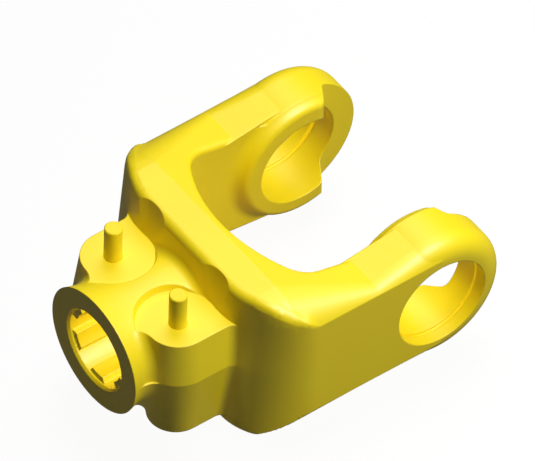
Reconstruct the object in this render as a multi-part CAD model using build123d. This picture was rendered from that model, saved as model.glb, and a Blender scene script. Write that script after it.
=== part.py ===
from build123d import *
from math import radians, sqrt, tan
import os

# Forged end yoke of a power take-off drive shaft, with two spring-loaded push pins.
# Origin: the centre of the joint cross. The hub lies towards -X, the two ears face
# each other along Y, and the push pins are pressed downwards, along -Z.

os.makedirs("parts", exist_ok=True)

# Ears, as bored for a 42 mm bearing cup
yoke_width = 118.6
ear_bore = 42.0
ear_outside_radius = 30.9
ear_outer_rounding = 8.5
ear_inner_rounding = 7.5
ear_end_thickness = 17.1
ear_end_start = 9.3
ear_end_run = 5.2
ear_end_rounding = 3.0
ear_end_hollow = 4.0
boss_gap = 66.2
boss_radius = 27.8
boss_foot_run = 3.2
boss_edge_rounding = 3.0
boss_foot_hollow = 6.0
ring_groove_inset = 5.15
ring_groove_width = 1.85
ring_groove_depth = 1.25

# Fork: the base that joins the two arms, and the arms
joint_to_hub_face = 127.2
joint_to_base_front = 88.2
joint_to_base_inside = 65.2
joint_to_slope = 68.4
joint_to_arm_step = 30.8
base_height = 74.0
arm_height = 53.4
side_height = 48.4
base_flat_width = 81.0
arm_flat_width = 106.0
crown_bulge = 0.126
arm_rise = 0.7
arm_gap = 76.6
forging_draft = 7.0
base_edge_radius = 4.0
upper_corner_radius = 37.0
lower_corner_radius = 27.0
inner_corner_radius = 12.0
inner_edge_radius = 2.4

# Hub
hub_diameter = 55.7
neck_diameter = 48.6
collar_length = 24.0
hub_to_base_blend = 4.0

# Bore for a 1 3/8 inch shaft with six splines
spline_major = 34.9
spline_minor = 29.8
spline_slot_width = 8.8
spline_count = 6
spline_inset = 2.0
mouth_diameter = 37.0
mouth_length = 1.2

# Push pins
pin_spacing = 43.46
face_to_pin = 24.7
button_diameter = 7.45
button_height = 16.6
button_chamfer = 0.4
lock_diameter = 14.0
lock_top = 5.0
lock_cone_height = 5.0
pocket_diameter = 10.4
pocket_roof = 1.0
pin_travel = 15.0
running_fit = 0.06
seat_gap = 0.15

# Closing disc, its retaining ring and the spring
disc_diameter = 16.0
disc_thickness = 1.5
stop_gap = 1.2
ring_thickness = 1.0
ring_width = 1.5
ring_slot_depth = 0.45
ring_gap_angle = 50.0
ring_play = 0.05
wire_diameter = 1.3
spring_turns = 6.0
spring_play = 0.25

# Bosses that carry the push pins
pin_boss_radius = 15.7
pin_boss_top = 20.5
pin_boss_inset = 5.5
lip_below_ring = 1.8
upper_hub_blend = 4.5
lower_hub_blend = 8.0
lower_blend_per_wall = 1.12
boss_to_base_blend = 4.0
relief_radius = 17.0
relief_lean = 14.0

# Values that follow from the sizes above
half_width = yoke_width / 2
half_gap = arm_gap / 2
hub_face_x = -joint_to_hub_face
pin_x = face_to_pin - joint_to_hub_face
pin_y = pin_spacing / 2
draft_slope = tan(radians(forging_draft))
pin_boss_bottom = base_height / 2 - pin_boss_inset
ring_top = lip_below_ring + ring_thickness - pin_boss_bottom
disc_top = ring_top + disc_thickness
lock_bottom = -disc_top - stop_gap - pin_travel
ear_flat_width = yoke_width - 2 * ear_outer_rounding

UPRIGHT = (Align.CENTER, Align.CENTER, Align.MIN)


def mirrored(shape):
    """The shape together with its mirror image in the XZ plane."""
    return shape + mirror(shape, Plane.XZ)


def crown_section(x, flat_width, height, centre):
    """Cross section of the fork at x: flat top and bottom, with crowned corners."""
    crowns = []
    for sy, sz in ((1, 1), (1, -1), (-1, -1), (-1, 1)):
        outer = Vector(x, sy * half_width, arm_rise + sz * side_height / 2)
        inner = Vector(x, sy * flat_width / 2, centre + sz * height / 2)
        across = outer - inner
        middle = (outer + inner) / 2 + Vector(0, -sy * sz * across.Z, sz * sy * across.Y) * crown_bulge
        first, last = (inner, outer) if sy * sz > 0 else (outer, inner)
        crowns.append(Edge.make_three_point_arc(first, middle, last))
    edges = []
    for crown, following in zip(crowns, crowns[1:] + crowns[:1]):
        edges += [crown, Edge.make_line(crown @ 1, following @ 0)]
    return Wire(edges)


def fork_envelope():
    """Crowned block, tallest at the base, that steps down to the arms and rises to the ears."""
    front = crown_section(hub_face_x, base_flat_width, base_height, 0)
    root = crown_section(-joint_to_slope, base_flat_width, base_height, 0)
    step = crown_section(-joint_to_arm_step, arm_flat_width, arm_height, arm_rise)
    end = crown_section(0, ear_flat_width, 2 * ear_outside_radius, arm_rise)
    body = Solid.make_loft([front, root], ruled=True)
    body += Solid.make_loft([root, step], ruled=True)
    body += Solid.make_loft([step, end], ruled=True)
    return body


def base_plan(height, front, half, radius):
    """Outline of the fork at one height, with its two rounded front corners."""
    block = Rectangle(2 * front, 2 * half)
    corners = block.vertices().filter_by(lambda v: v.X < 0)
    return Pos(0, 0, height) * fillet(corners, radius)


def base_block(upper):
    """Half of the block that carries the arms. Its lower corners are fuller than the upper."""
    top = base_height / 2
    lean = top * draft_slope
    parting = base_plan(0, joint_to_base_front, half_width + lean, upper_corner_radius)
    if upper:
        end = base_plan(top, joint_to_base_front - lean, half_width, upper_corner_radius - lean)
    else:
        end = base_plan(top, joint_to_base_front, half_width, lower_corner_radius)
    return loft([parting, end], ruled=True)


def forging_half(upper):
    """Base block, pin bosses and hub on one side of the parting plane, with their blends."""
    height = pin_boss_top if upper else pin_boss_bottom
    side = pin_y + pin_boss_radius
    lean = height * draft_slope
    web_length = pin_boss_radius + upper_corner_radius / 2
    web_place = Pos(pin_x + web_length / 2, 0)
    foot = web_place * Rectangle(web_length, 2 * side)
    web = loft([foot, web_place * Pos(0, 0, height) * Rectangle(web_length, 2 * (side - lean))], ruled=True)
    boss = Cone(pin_boss_radius, pin_boss_radius - lean, height, align=UPRIGHT)
    bosses = Pos(pin_x, pin_y) * boss + Pos(pin_x, -pin_y) * boss
    hub_half = hub() & Box(2 * joint_to_hub_face, hub_diameter, hub_diameter, align=UPRIGHT)
    body = base_block(upper) + web + bosses + hub_half
    # The lower blend is limited by the wall between the hub's neck and the lower end of the boss
    wall_below_neck = height - neck_diameter / 2
    blend = upper_hub_blend if upper else min(lower_hub_blend, lower_blend_per_wall * wall_below_neck)
    body = fillet(edges_on_hub(body, height), blend)
    body = fillet(edges_on_base(body, height), boss_to_base_blend)
    return body if upper else mirror(body, Plane.XY)


def edges_on_hub(body, boss_height):
    """Edges where the sides of the pin bosses run into the hub."""
    neck = neck_diameter / 2
    edges = body.edges().filter_by(lambda e: pin_x - pin_boss_radius - 1 < (e @ 0.5).X < pin_x - 1)
    edges = edges.filter_by(lambda e: 1 < (e @ 0.5).Z < boss_height - 1 and abs((e @ 0.5).Y) > neck / 4)
    return edges.filter_by(lambda e: sqrt((e @ 0.5).Y ** 2 + (e @ 0.5).Z ** 2) < hub_diameter / 2)


def edges_on_base(body, boss_height):
    """Edges where the sides of the pin bosses run into the front wall of the base."""
    side = pin_y + pin_boss_radius
    lean = boss_height * draft_slope
    edges = body.edges().filter_by(lambda e: (e @ 0).X > -joint_to_base_front - 1)
    edges = edges.filter_by(lambda e: (e @ 0.5).X < 2 * lean - joint_to_base_front)
    edges = edges.filter_by(lambda e: 1 < (e @ 0.5).Z < boss_height - 1)
    return edges.filter_by(lambda e: side - lean < abs((e @ 0.5).Y) < side)


def gap_in_fork():
    """U-shaped gap between the arms. Its end wall is struck from the centre of the joint."""
    root = joint_to_base_inside
    corner_x = -sqrt(root**2 - half_gap**2)
    wall = ThreePointArc((corner_x, half_gap), (-root, 0), (corner_x, -half_gap))
    rest = Polyline((corner_x, -half_gap), (root, -half_gap), (root, half_gap), (corner_x, half_gap))
    gap = make_face(wall + rest)
    corners = gap.vertices().filter_by(lambda v: v.X < 0)
    return extrude(fillet(corners, inner_corner_radius), base_height / 2, both=True)


def round_gap_edges(body):
    """Rounds the upper and lower edges of the U-shaped gap, up to where the ears begin."""
    limit = arm_height / 2 - inner_edge_radius
    edges = body.edges().filter_by(lambda e: abs((e @ 0.5).Z) > limit)
    edges = edges.filter_by(lambda e: abs((e @ 0.5).Y) < half_gap + 1)
    edges = edges.filter_by(lambda e: -joint_to_base_inside - 1 < (e @ 0.5).X < -joint_to_arm_step)
    return fillet(edges.filter_by(Axis.Y, reverse=True), inner_edge_radius)


def ear_disc():
    """Rounded outer disc of the ear at +Y."""
    disc = Cylinder(ear_outside_radius, ear_end_thickness, align=UPRIGHT)
    disc = fillet(disc.edges().sort_by(Axis.Z)[-1], ear_outer_rounding)
    disc = fillet(disc.edges().sort_by(Axis.Z)[0], ear_inner_rounding)
    return Pos(0, half_width - ear_end_thickness, 0) * Rot(-90, 0, 0) * disc


def ear_boss():
    """Boss on the inner face of the ear at +Y, with a hollow foot where it meets the arm."""
    face = boss_gap / 2
    end = half_width - ear_end_thickness + ear_inner_rounding
    foot = boss_radius + boss_foot_run
    reach = foot + boss_foot_hollow
    outline = Polyline((0, face), (boss_radius, face), (foot, half_gap), (reach, half_gap))
    outline += Polyline((reach, half_gap), (reach, end), (0, end), (0, face))
    section = make_face(outline)
    edge = section.vertices().sort_by_distance((boss_radius, face))[0]
    section = fillet(edge, boss_edge_rounding)
    corner = section.vertices().sort_by_distance((foot, half_gap))[0]
    section = fillet(corner, boss_foot_hollow)
    boss = revolve(section, Axis.Y)
    arm = Pos(-reach / 2, 0) * Rectangle(reach, arm_height)
    limits = extrude(Plane.XZ * (arm + Circle(ear_outside_radius)), half_width, both=True)
    return (boss & limits) - ear_end_cut()


def ear_end_cut():
    """Space beside the thin end of the ear at +Y, with its S-shaped wall."""
    inside = half_width - ear_end_thickness
    face = boss_gap / 2
    near = ear_end_start - ear_end_rounding
    far = ear_end_start + ear_end_run
    clear = ear_outside_radius + ear_end_rounding
    outline = Polyline((near, 0), (near, face), (ear_end_start, face), (far, inside))
    outline += Polyline((far, inside), (clear, inside), (clear, 0), (near, 0))
    space = make_face(outline)
    corner = space.vertices().sort_by_distance((far, inside))[0]
    space = fillet(corner, ear_end_hollow)
    edge = space.vertices().sort_by_distance((ear_end_start, face))[0]
    return extrude(fillet(edge, ear_end_rounding), ear_outside_radius, both=True)


def hub():
    """Turned hub: a collar that flares to the front face, and the neck behind it."""
    face_radius = hub_diameter / 2
    neck = neck_diameter / 2
    step = face_radius - neck
    flare = (collar_length**2 + step**2) / (2 * step)
    length = joint_to_hub_face - joint_to_slope
    outline = Polyline((0, 0), (0, face_radius))
    outline += RadiusArc((0, face_radius), (collar_length, neck), -flare)
    outline += Polyline((collar_length, neck), (length, neck), (length, 0), (0, 0))
    return Pos(hub_face_x, 0, 0) * revolve(make_face(outline), Axis.X)


def front_edges(body):
    """Upper and lower front edges of the base."""
    edges = body.edges().filter_by(lambda e: abs((e @ 0.5).Z) > base_height / 2 - 0.1)
    return edges.filter_by(lambda e: (e @ 0.5).X < upper_corner_radius / 4 - joint_to_base_front)


def hub_top_edge(body):
    """Edge where the top of the hub runs into the front wall of the base."""
    edges = body.edges().filter_by(lambda e: abs((e @ 0.5).Y) < 1 and (e @ 0.5).X > pin_x)
    return edges.filter_by(lambda e: pin_boss_top + 1 < (e @ 0.5).Z < neck_diameter / 2 + 1)


def forging():
    """The yoke before it is machined."""
    body = (forging_half(True) + forging_half(False)) & fork_envelope()
    body = round_gap_edges(body - gap_in_fork())
    body = fillet(front_edges(body), base_edge_radius)
    body = fillet(hub_top_edge(body), hub_to_base_blend)
    lift = Pos(0, 0, arm_rise)
    return body + lift * mirrored(ear_disc()) + lift * mirrored(ear_boss())


def relief():
    """Conical spot face over the pin boss at +Y, which also hollows the front wall."""
    height = base_height / 2 - pin_boss_top + 1
    wide = relief_radius + height * tan(radians(relief_lean))
    return Pos(pin_x, pin_y, pin_boss_top) * Cone(relief_radius, wide, height, align=UPRIGHT)


def pin_bore():
    """Stepped bore for the push pin at +Y, open at both ends."""
    button = button_diameter / 2 + running_fit
    lock = lock_diameter / 2 + running_fit
    seat = disc_diameter / 2 + running_fit
    slot = seat + ring_slot_depth
    cone_bottom = lock_top + seat_gap
    cone_top = cone_bottom + lock_cone_height
    slot_end = ring_top - ring_thickness - ring_play
    below = -pin_boss_bottom - 1
    outline = Polyline(
        (0, below),
        (seat, below),
        (seat, slot_end),
        (slot, slot_end),
        (slot, ring_top),
        (seat, ring_top),
        (seat, disc_top),
        (lock, disc_top),
        (lock, cone_bottom),
        (button, cone_top),
        (button, base_height / 2),
        (0, base_height / 2),
        close=True,
    )
    return Pos(pin_x, pin_y) * revolve(make_face(Plane.XZ * outline), Axis.Z)


def ear_bores():
    """Bore through both ears, with a retaining ring groove near each outer face."""
    bore = Cylinder(ear_bore / 2, yoke_width + 1)
    groove = Cylinder(ear_bore / 2 + ring_groove_depth, ring_groove_width, align=UPRIGHT)
    groove = Pos(0, 0, half_width - ring_groove_inset - ring_groove_width) * groove
    return Rot(90, 0, 0) * (bore + groove + mirror(groove, Plane.XY))


def spline_bore():
    """Splined bore, with the teeth set back behind a chamfered mouth."""
    length = joint_to_hub_face
    slot = Pos(spline_major / 4, 0) * Box(spline_major / 2, spline_slot_width, length, align=UPRIGHT)
    slots = PolarLocations(0, spline_count, start_angle=180 / spline_count) * slot
    bore = Cylinder(spline_minor / 2, length, align=UPRIGHT)
    bore += Cylinder(spline_major / 2, length, align=UPRIGHT) & (slots[0] + slots[1:])
    bore += Cylinder(spline_major / 2, spline_inset, align=UPRIGHT)
    bore += Cone(mouth_diameter / 2, spline_major / 2, mouth_length, align=UPRIGHT)
    return Pos(hub_face_x, 0, 0) * Rot(0, 90, 0) * bore


def push_pin():
    """Push pin: a button on a thicker locking part that is hollow from below."""
    top = pin_boss_top + button_height
    button = button_diameter / 2
    lock = lock_diameter / 2
    pocket = pocket_diameter / 2
    outline = Polyline(
        (0, top),
        (button - button_chamfer, top),
        (button, top - button_chamfer),
        (button, lock_top + lock_cone_height),
        (lock, lock_top),
        (lock, -lock_bottom),
        (pocket, -lock_bottom),
        (pocket, -pocket_roof),
        (0, -pocket_roof),
        close=True,
    )
    return revolve(make_face(Plane.XZ * outline), Axis.Z)


def pin_spring():
    """Coil spring between the roof of the pocket and the closing disc, with flat ends."""
    radius = pocket_diameter / 2 - spring_play - wire_diameter / 2
    height = -pocket_roof - disc_top
    coil = Pos(0, 0, disc_top) * Helix(height / spring_turns, height, radius)
    wire = sweep(Plane(coil @ 0, z_dir=coil % 0) * Circle(wire_diameter / 2), path=coil, is_frenet=True)
    room = Pos(0, 0, disc_top) * Cylinder(pocket_diameter, height, align=UPRIGHT)
    return wire & room


def spring_disc():
    """Disc that closes the bore below the spring."""
    return Pos(0, 0, ring_top) * Cylinder(disc_diameter / 2, disc_thickness, align=UPRIGHT)


def snap_ring():
    """Open retaining ring that holds the disc."""
    outer = disc_diameter / 2 + ring_slot_depth
    ring = Cylinder(outer, ring_thickness, align=UPRIGHT)
    ring -= Cylinder(outer - ring_width, ring_thickness, align=UPRIGHT)
    reach = 2 * outer
    half = reach * tan(radians(ring_gap_angle / 2))
    wedge = make_face(Polyline((0, 0), (reach, -half), (reach, half), close=True))
    ring -= extrude(wedge, ring_thickness)
    return Pos(0, 0, ring_top - ring_thickness) * ring


# The yoke
yoke = forging() - mirrored(relief()) - mirrored(pin_bore())
yoke -= ear_bores()
yoke -= spline_bore()
export_step(yoke, "parts/yoke.step")

# One push pin, spring, disc and ring on each side: 1 is at -Y, 2 is at +Y
for number, side_y in ((1, -pin_y), (2, pin_y)):
    place = Pos(pin_x, side_y, 0)
    export_step(place * push_pin(), f"parts/push_pin_{number}.step")
    export_step(place * pin_spring(), f"parts/pin_spring_{number}.step")
    export_step(place * spring_disc(), f"parts/spring_disc_{number}.step")
    export_step(place * snap_ring(), f"parts/snap_ring_{number}.step")
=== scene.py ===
import math

import bmesh
import bpy
from mathutils import Matrix, Vector


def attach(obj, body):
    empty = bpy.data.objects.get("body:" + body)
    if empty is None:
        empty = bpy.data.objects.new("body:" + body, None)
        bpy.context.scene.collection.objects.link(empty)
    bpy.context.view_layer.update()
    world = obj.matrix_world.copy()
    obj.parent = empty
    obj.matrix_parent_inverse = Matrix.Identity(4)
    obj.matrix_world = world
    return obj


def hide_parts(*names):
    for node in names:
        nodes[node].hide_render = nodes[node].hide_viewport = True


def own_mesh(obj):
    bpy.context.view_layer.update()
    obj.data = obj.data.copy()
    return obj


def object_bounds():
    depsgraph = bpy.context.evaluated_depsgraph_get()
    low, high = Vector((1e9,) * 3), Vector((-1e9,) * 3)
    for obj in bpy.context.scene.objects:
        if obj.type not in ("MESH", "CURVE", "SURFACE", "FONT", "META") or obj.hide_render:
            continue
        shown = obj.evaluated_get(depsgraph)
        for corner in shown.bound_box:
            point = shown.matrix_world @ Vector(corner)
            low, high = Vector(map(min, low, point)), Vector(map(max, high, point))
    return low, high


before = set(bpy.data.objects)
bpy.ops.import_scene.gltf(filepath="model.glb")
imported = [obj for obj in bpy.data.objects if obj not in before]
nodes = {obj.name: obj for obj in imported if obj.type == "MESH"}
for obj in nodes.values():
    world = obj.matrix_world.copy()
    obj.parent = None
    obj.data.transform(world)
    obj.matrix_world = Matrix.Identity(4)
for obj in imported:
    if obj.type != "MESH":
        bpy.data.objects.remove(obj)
cad_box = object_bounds()
scene = bpy.context.scene
scene.view_settings.view_transform = "Standard"


# Camera: a long view with no perspective, from in front of the hub and above it.
# Its right and up directions were measured from the hub's circle and the two ear bores.
right = Vector((0.807, -0.590, 0.017)).normalized()
back = right.cross(Vector((0.431, 0.609, 0.666))).normalized()
up = back.cross(right)
hub_face_centre = Vector((-0.1272, 0, 0))
picture_width = 0.21155
hub_to_picture_right = 0.06866
hub_to_picture_up = 0.04744
camera_distance = 0.8
aim = hub_face_centre + hub_to_picture_right * right + hub_to_picture_up * up
camera_data = bpy.data.cameras.new("camera")
camera_data.type = "ORTHO"
camera_data.ortho_scale = picture_width
camera_data.clip_start = 0.01
camera_data.clip_end = 10
camera = bpy.data.objects.new("camera", camera_data)
turned = Matrix((right, up, back)).transposed().to_4x4()
camera.matrix_world = Matrix.Translation(aim + camera_distance * back) @ turned
scene.collection.objects.link(camera)
scene.camera = camera


# Studio floor: a pale sheet under the forging. The camera and reflections see it white,
# and the forging's soft shadow stays on it.
class Value:
    """A number that varies over a surface. Python's operators on it add Math nodes."""

    def __init__(self, tree, socket):
        self.tree = tree
        self.socket = socket

    def math(self, operation, first, second):
        node = self.tree.nodes.new("ShaderNodeMath")
        node.operation = operation
        for place, number in zip(node.inputs, (first, second)):
            if isinstance(number, Value):
                self.tree.links.new(number.socket, place)
            else:
                place.default_value = number
        return Value(self.tree, node.outputs[0])

    def __add__(self, other):
        return self.math("ADD", self, other)

    def __radd__(self, other):
        return self.math("ADD", other, self)

    def __mul__(self, other):
        return self.math("MULTIPLY", self, other)

    def __rmul__(self, other):
        return self.math("MULTIPLY", other, self)

    def at_least(self, other):
        return self.math("MAXIMUM", self, other)


class Finish:
    """A material made from nodes, with its surface shader at hand."""

    def __init__(self, name):
        self.material = bpy.data.materials.new(name)
        self.material.use_nodes = True
        self.tree = self.material.node_tree
        self.shader = self.tree.nodes["Principled BSDF"]
        self.output = self.tree.nodes["Material Output"]

    def node(self, kind, settings=None, **sockets):
        """Adds a node. Settings come first, then the values or links of its sockets."""
        node = self.tree.nodes.new(kind)
        for key, setting in (settings or {}).items():
            if key == "stops":
                ramp = node.color_ramp.elements
                while len(ramp) < len(setting):
                    ramp.new(0.5)
                for stop, (place, colour) in zip(ramp, setting):
                    stop.position = place
                    stop.color = (*colour, 1)
            else:
                setattr(node, key, setting)
        for key, source in sockets.items():
            self.feed(node.inputs[key.replace("_", " ")], source)
        return node

    def feed(self, place, source):
        if isinstance(source, Value):
            self.tree.links.new(source.socket, place)
        elif isinstance(source, bpy.types.NodeSocket):
            self.tree.links.new(source, place)
        else:
            place.default_value = source

    def value(self, socket):
        return Value(self.tree, socket)

    def put_on(self, *names):
        for name in names:
            materials = nodes[name].data.materials
            materials.clear()
            materials.append(self.material)


floor_gap = 0.0002
floor_level = cad_box[0][2] - floor_gap
half_floor = 3.0
sheet_grey = (0.12, 0.12, 0.12, 1)
sheet_roughness = 0.9
sheet_glow = 0.85
mirrored_share = 0.05
floor_mesh = bpy.data.meshes.new("floor")
corners = [(x * half_floor, y * half_floor, floor_level) for x, y in ((-1, -1), (1, -1), (1, 1), (-1, 1))]
floor_mesh.from_pydata(corners, [], [(0, 1, 2, 3)])
floor = bpy.data.objects.new("floor", floor_mesh)
scene.collection.objects.link(floor)
sheet = Finish("pale_floor")
sheet.shader.inputs["Base Color"].default_value = sheet_grey
sheet.shader.inputs["Roughness"].default_value = sheet_roughness
light_path = sheet.node("ShaderNodeLightPath")
seen = sheet.value(light_path.outputs["Is Camera Ray"])
through = sheet.value(light_path.outputs["Is Transmission Ray"])
mirrored = sheet.value(light_path.outputs["Is Glossy Ray"]).at_least(through)
glow = sheet.node("ShaderNodeEmission", Color=(1, 1, 1, 1), Strength=sheet_glow)
lit = sheet.node("ShaderNodeAddShader")
sheet.tree.links.new(sheet.shader.outputs[0], lit.inputs[0])
sheet.tree.links.new(glow.outputs[0], lit.inputs[1])
mixed = sheet.node("ShaderNodeMixShader", Fac=seen.at_least(mirrored_share * mirrored))
sheet.tree.links.new(sheet.shader.outputs[0], mixed.inputs[1])
sheet.tree.links.new(lit.outputs[0], mixed.inputs[2])
sheet.tree.links.new(mixed.outputs[0], sheet.output.inputs["Surface"])
floor_mesh.materials.append(sheet.material)


# Studio light: a lamp above the near ear, let through into the bores so that they read,
# a broad soft box overhead that gives the top its sheen and the soft shadow, and a dim room.
lit_centre = Vector((-0.05, 0, 0))
lamp_distance = 1.2
room_glow = 0.02


def soft_box(name, direction, size, power):
    """A round lamp that shines at the middle of the yoke from one direction."""
    data = bpy.data.lights.new(name, "AREA")
    data.shape = "DISK"
    data.size = size
    data.energy = power
    lamp = bpy.data.objects.new(name, data)
    toward = Vector(direction).normalized()
    lamp.location = lit_centre + lamp_distance * toward
    lamp.rotation_euler = toward.to_track_quat("Z", "Y").to_euler()
    scene.collection.objects.link(lamp)
    return data


key = soft_box("key", direction=(0.25, -0.44, 0.85), size=0.3, power=13.4)
key.use_shadow = False
soft_box("overhead", direction=(0.3, 0.3, 0.9), size=0.8, power=5.4)

room = bpy.data.worlds.new("room")
room.use_nodes = True
scene.world = room
sky = room.node_tree.nodes["Background"]
sky.inputs["Color"].default_value = (1, 1, 1, 1)
path = room.node_tree.nodes.new("ShaderNodeLightPath")
camera_ray = Value(room.node_tree, path.outputs["Is Camera Ray"])
glossy_ray = Value(room.node_tree, path.outputs["Is Glossy Ray"])
strength = camera_ray.at_least(glossy_ray * mirrored_share) * (1 - room_glow) + room_glow
room.node_tree.links.new(strength.socket, sky.inputs["Strength"])


# Yoke: one drop forging in steel, shot-blasted, machined at the bores and the hub, then
# dipped in yellow enamel. The enamel is smooth, with the forged skin faintly showing through.
yellow = (0.95, 0.75, 0.004)
deep_yellow = (0.93, 0.72, 0.003)
enamel = Finish("yellow_enamel")
place = enamel.node("ShaderNodeTexCoord").outputs["Object"]
drift = enamel.node("ShaderNodeTexNoise", Vector=place, Scale=22.0, Detail=3.0, Roughness=0.5)
skin = enamel.node("ShaderNodeTexNoise", Vector=place, Scale=420.0, Detail=4.0, Roughness=0.6)
peel = enamel.node("ShaderNodeTexNoise", Vector=place, Scale=1500.0, Detail=1.0, Roughness=0.5)
shades = {"stops": [(0.35, deep_yellow), (0.65, yellow)]}
colour = enamel.node("ShaderNodeValToRGB", shades, Fac=drift.outputs["Fac"])
enamel.feed(enamel.shader.inputs["Base Color"], colour.outputs["Color"])
enamel.feed(enamel.shader.inputs["Roughness"], 0.42 + 0.10 * enamel.value(skin.outputs["Fac"]))
relief = 0.7 * enamel.value(skin.outputs["Fac"]) + 0.3 * enamel.value(peel.outputs["Fac"])
soft_edge = enamel.node("ShaderNodeBevel", {"samples": 8}, Radius=0.0007).outputs["Normal"]
grain = enamel.node("ShaderNodeBump", Height=relief, Strength=0.25, Distance=0.0001, Normal=soft_edge)
enamel.feed(enamel.shader.inputs["Normal"], grain.outputs["Normal"])
enamel.shader.inputs["Specular IOR Level"].default_value = 0.8

# The enamelled surface is the solid's own, but for the two outer corners of the base. There the
# solid has a crease, and the forging runs from front to side on one easy curve. It is drawn as an
# ellipse in plan, which tightens towards the underside and fades out before the pin bosses. Where
# the solid's upper edge lies inside the ellipse, it swells out to meet it.
curve_end = -0.0602
curve_depth = 0.0280
curve_breadth = 0.0370
lower_breadth = 0.0270
fade_start = 0.038
fade_end = 0.046
swell_start = 0.014
swell_end = 0.0275
full_swell = 0.0395
near_side = 0.2
well_round = 0.45
near_front = 1.1
deep_inside = 0.85
near_surface = 0.95
slice_gap = 0.0015
slices_back = 20
slices_in = 11
weld_distance = 1e-7
small_step = 1e-5
half_width = nodes["yoke"].dimensions.y / 2
half_height = nodes["yoke"].dimensions.z / 2
draft_slope = math.tan(math.radians(7))


def smooth(value, start, end):
    """A share that rises gently from 0 to 1 as the value goes from start to end."""
    share = min(max((value - start) / (end - start), 0), 1)
    return share * share * (3 - 2 * share)


def eased(point):
    """Where a point of the forging lies once its corner is eased."""
    across = abs(point.y)
    if point.x > curve_end or across < fade_start:
        return point
    depth = curve_depth - max(point.z, 0) * draft_slope
    breadth = curve_breadth + (curve_breadth - lower_breadth) * min(point.z, 0) / half_height
    centre = half_width - breadth
    deep = (curve_end - point.x) / depth
    wide = (across - centre) / breadth
    reach = math.hypot(deep, wide)
    turn = math.atan2(deep, wide)
    swell = full_swell * min(max((point.z - swell_start) / (swell_end - swell_start), 0), 1)
    swell *= smooth(turn, 0, near_side) * (1 - smooth(turn, well_round, near_front))
    swell *= smooth(reach, deep_inside, near_surface)
    change = min(reach * (1 + swell), 1) / reach
    if change == 1:
        return point
    x = curve_end + (point.x - curve_end) * change
    y = centre + (across - centre) * change
    target = Vector((x, math.copysign(y, point.y), point.z))
    return point.lerp(target, smooth(across, fade_start, fade_end))


def eased_normal(point, normal):
    """Which way the surface faces at a point once its corner is eased."""
    first = normal.orthogonal().normalized() * small_step
    second = normal.cross(first)
    first_way = eased(point + first) - eased(point - first)
    turned = first_way.cross(eased(point + second) - eased(point - second))
    return turned.normalized() if turned.length > small_step**2 / 1000 else normal


def slice_corners(surface, place, direction):
    """Adds a line of points round the corners, for their curve to bend on."""
    parts = set()
    for face in surface.faces:
        middle = face.calc_center_median()
        if middle.x < curve_end / 2 and abs(middle.y) > fade_start:
            parts.update([face, *face.edges, *face.verts])
    bmesh.ops.bisect_plane(
        surface, geom=list(parts), dist=weld_distance, plane_co=place, plane_no=direction
    )


yoke_mesh = nodes["yoke"].data.copy()
solid_normal = yoke_mesh.attributes.new("solid_normal", "FLOAT_VECTOR", "CORNER")
directions = [number for corner in yoke_mesh.corner_normals for number in corner.vector]
solid_normal.data.foreach_set("vector", directions)
surface = bmesh.new()
surface.from_mesh(yoke_mesh)
bmesh.ops.remove_doubles(surface, verts=surface.verts, dist=weld_distance)
slice_corners(surface, (0, 0, 0), (0, 0, 1))
for step in range(slices_back):
    slice_corners(surface, (curve_end - step * slice_gap, 0, 0), (1, 0, 0))
for step in range(slices_in):
    inward = half_width - (step + 1) * slice_gap
    slice_corners(surface, (0, inward, 0), (0, 1, 0))
    slice_corners(surface, (0, -inward, 0), (0, 1, 0))
bmesh.ops.triangulate(surface, faces=[face for face in surface.faces if len(face.verts) > 3])
surface.to_mesh(yoke_mesh)
surface.free()
yoke_mesh.shade_smooth()
solid_normal = yoke_mesh.attributes["solid_normal"]
normals = []
for corner in yoke_mesh.loops:
    point = yoke_mesh.vertices[corner.vertex_index].co
    normals.append(eased_normal(point, solid_normal.data[corner.index].vector.normalized()))
for vertex in yoke_mesh.vertices:
    vertex.co = eased(vertex.co)
yoke_mesh.normals_split_custom_set(normals)
yoke_mesh.materials.clear()
yoke_mesh.materials.append(enamel.material)
enamelled_yoke = bpy.data.objects.new("enamelled_yoke", yoke_mesh)
scene.collection.objects.link(enamelled_yoke)
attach(enamelled_yoke, "yoke")
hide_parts("yoke")


# Push pins: turned steel pins that lock the hub onto its shaft, dipped in the same enamel.
# Only their buttons show, above the bosses beside the hub.
pin_enamel = Finish("pin_enamel")
place = pin_enamel.node("ShaderNodeTexCoord").outputs["Object"]
drift = pin_enamel.node("ShaderNodeTexNoise", Vector=place, Scale=60.0, Detail=2.0, Roughness=0.5)
peel = pin_enamel.node("ShaderNodeTexNoise", Vector=place, Scale=1200.0, Detail=2.0, Roughness=0.5)
colour = pin_enamel.node("ShaderNodeValToRGB", shades, Fac=drift.outputs["Fac"])
pin_enamel.feed(pin_enamel.shader.inputs["Base Color"], colour.outputs["Color"])
relief = pin_enamel.value(peel.outputs["Fac"])
pin_enamel.feed(pin_enamel.shader.inputs["Roughness"], 0.40 + 0.08 * relief)
grain = pin_enamel.node("ShaderNodeBump", Height=relief, Strength=0.2, Distance=0.00005)
pin_enamel.feed(pin_enamel.shader.inputs["Normal"], grain.outputs["Normal"])
pin_enamel.put_on("push_pin_1", "push_pin_2")


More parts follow.
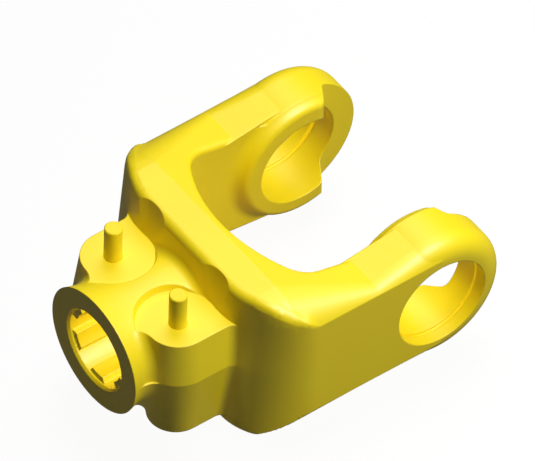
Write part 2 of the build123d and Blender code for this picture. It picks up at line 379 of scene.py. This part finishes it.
# Pin springs: coiled from round spring wire, bright and lightly oiled, one in each pin.
# They stand on the discs. In the real joint they shorten as the pins are pressed down; here each keeps
# one length and rides with the yoke.
wire = Finish("spring_wire")
place = wire.node("ShaderNodeTexCoord").outputs["Object"]
film = wire.node("ShaderNodeTexNoise", Vector=place, Scale=350.0, Detail=3.0, Roughness=0.6)
greys = {"stops": [(0.3, (0.42, 0.41, 0.39)), (0.7, (0.58, 0.57, 0.55))]}
tint = wire.node("ShaderNodeValToRGB", greys, Fac=film.outputs["Fac"])
wire.feed(wire.shader.inputs["Base Color"], tint.outputs["Color"])
wire.feed(wire.shader.inputs["Roughness"], 0.22 + 0.2 * wire.value(film.outputs["Fac"]))
wire.shader.inputs["Metallic"].default_value = 1.0
for number in (1, 2):
    node = nodes[f"pin_spring_{number}"]
    spring = bpy.data.objects.new(f"coiled_spring_{number}", node.data.copy())
    spring.data.materials.clear()
    spring.data.materials.append(wire.material)
    scene.collection.objects.link(spring)
    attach(spring, "yoke")
    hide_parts(f"pin_spring_{number}")
    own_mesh(spring)


# Spring discs: stamped from steel sheet and zinc plated. They close the pins' bores from
# below and carry the springs.
plating = Finish("zinc_plating")
place = plating.node("ShaderNodeTexCoord").outputs["Object"]
spangle = plating.node("ShaderNodeTexNoise", Vector=place, Scale=500.0, Detail=2.0, Roughness=0.5)
greys = {"stops": [(0.3, (0.55, 0.56, 0.58)), (0.7, (0.70, 0.71, 0.73))]}
tint = plating.node("ShaderNodeValToRGB", greys, Fac=spangle.outputs["Fac"])
plating.feed(plating.shader.inputs["Base Color"], tint.outputs["Color"])
plating.feed(plating.shader.inputs["Roughness"], 0.3 + 0.15 * plating.value(spangle.outputs["Fac"]))
plating.shader.inputs["Metallic"].default_value = 1.0
plating.put_on("spring_disc_1", "spring_disc_2")


# Retaining rings: bent from flat spring wire and phosphated dark grey. They snap into a groove
# in each boss, below its disc, and hold it.
phosphate = Finish("dark_phosphate")
place = phosphate.node("ShaderNodeTexCoord").outputs["Object"]
crystals = phosphate.node("ShaderNodeTexNoise", Vector=place, Scale=900.0, Detail=3.0, Roughness=0.6)
greys = {"stops": [(0.3, (0.03, 0.03, 0.032)), (0.7, (0.07, 0.07, 0.073))]}
tint = phosphate.node("ShaderNodeValToRGB", greys, Fac=crystals.outputs["Fac"])
phosphate.feed(phosphate.shader.inputs["Base Color"], tint.outputs["Color"])
crust = phosphate.value(crystals.outputs["Fac"])
phosphate.feed(phosphate.shader.inputs["Roughness"], 0.45 + 0.2 * crust)
phosphate.shader.inputs["Metallic"].default_value = 0.6
phosphate.put_on("snap_ring_1", "snap_ring_2")


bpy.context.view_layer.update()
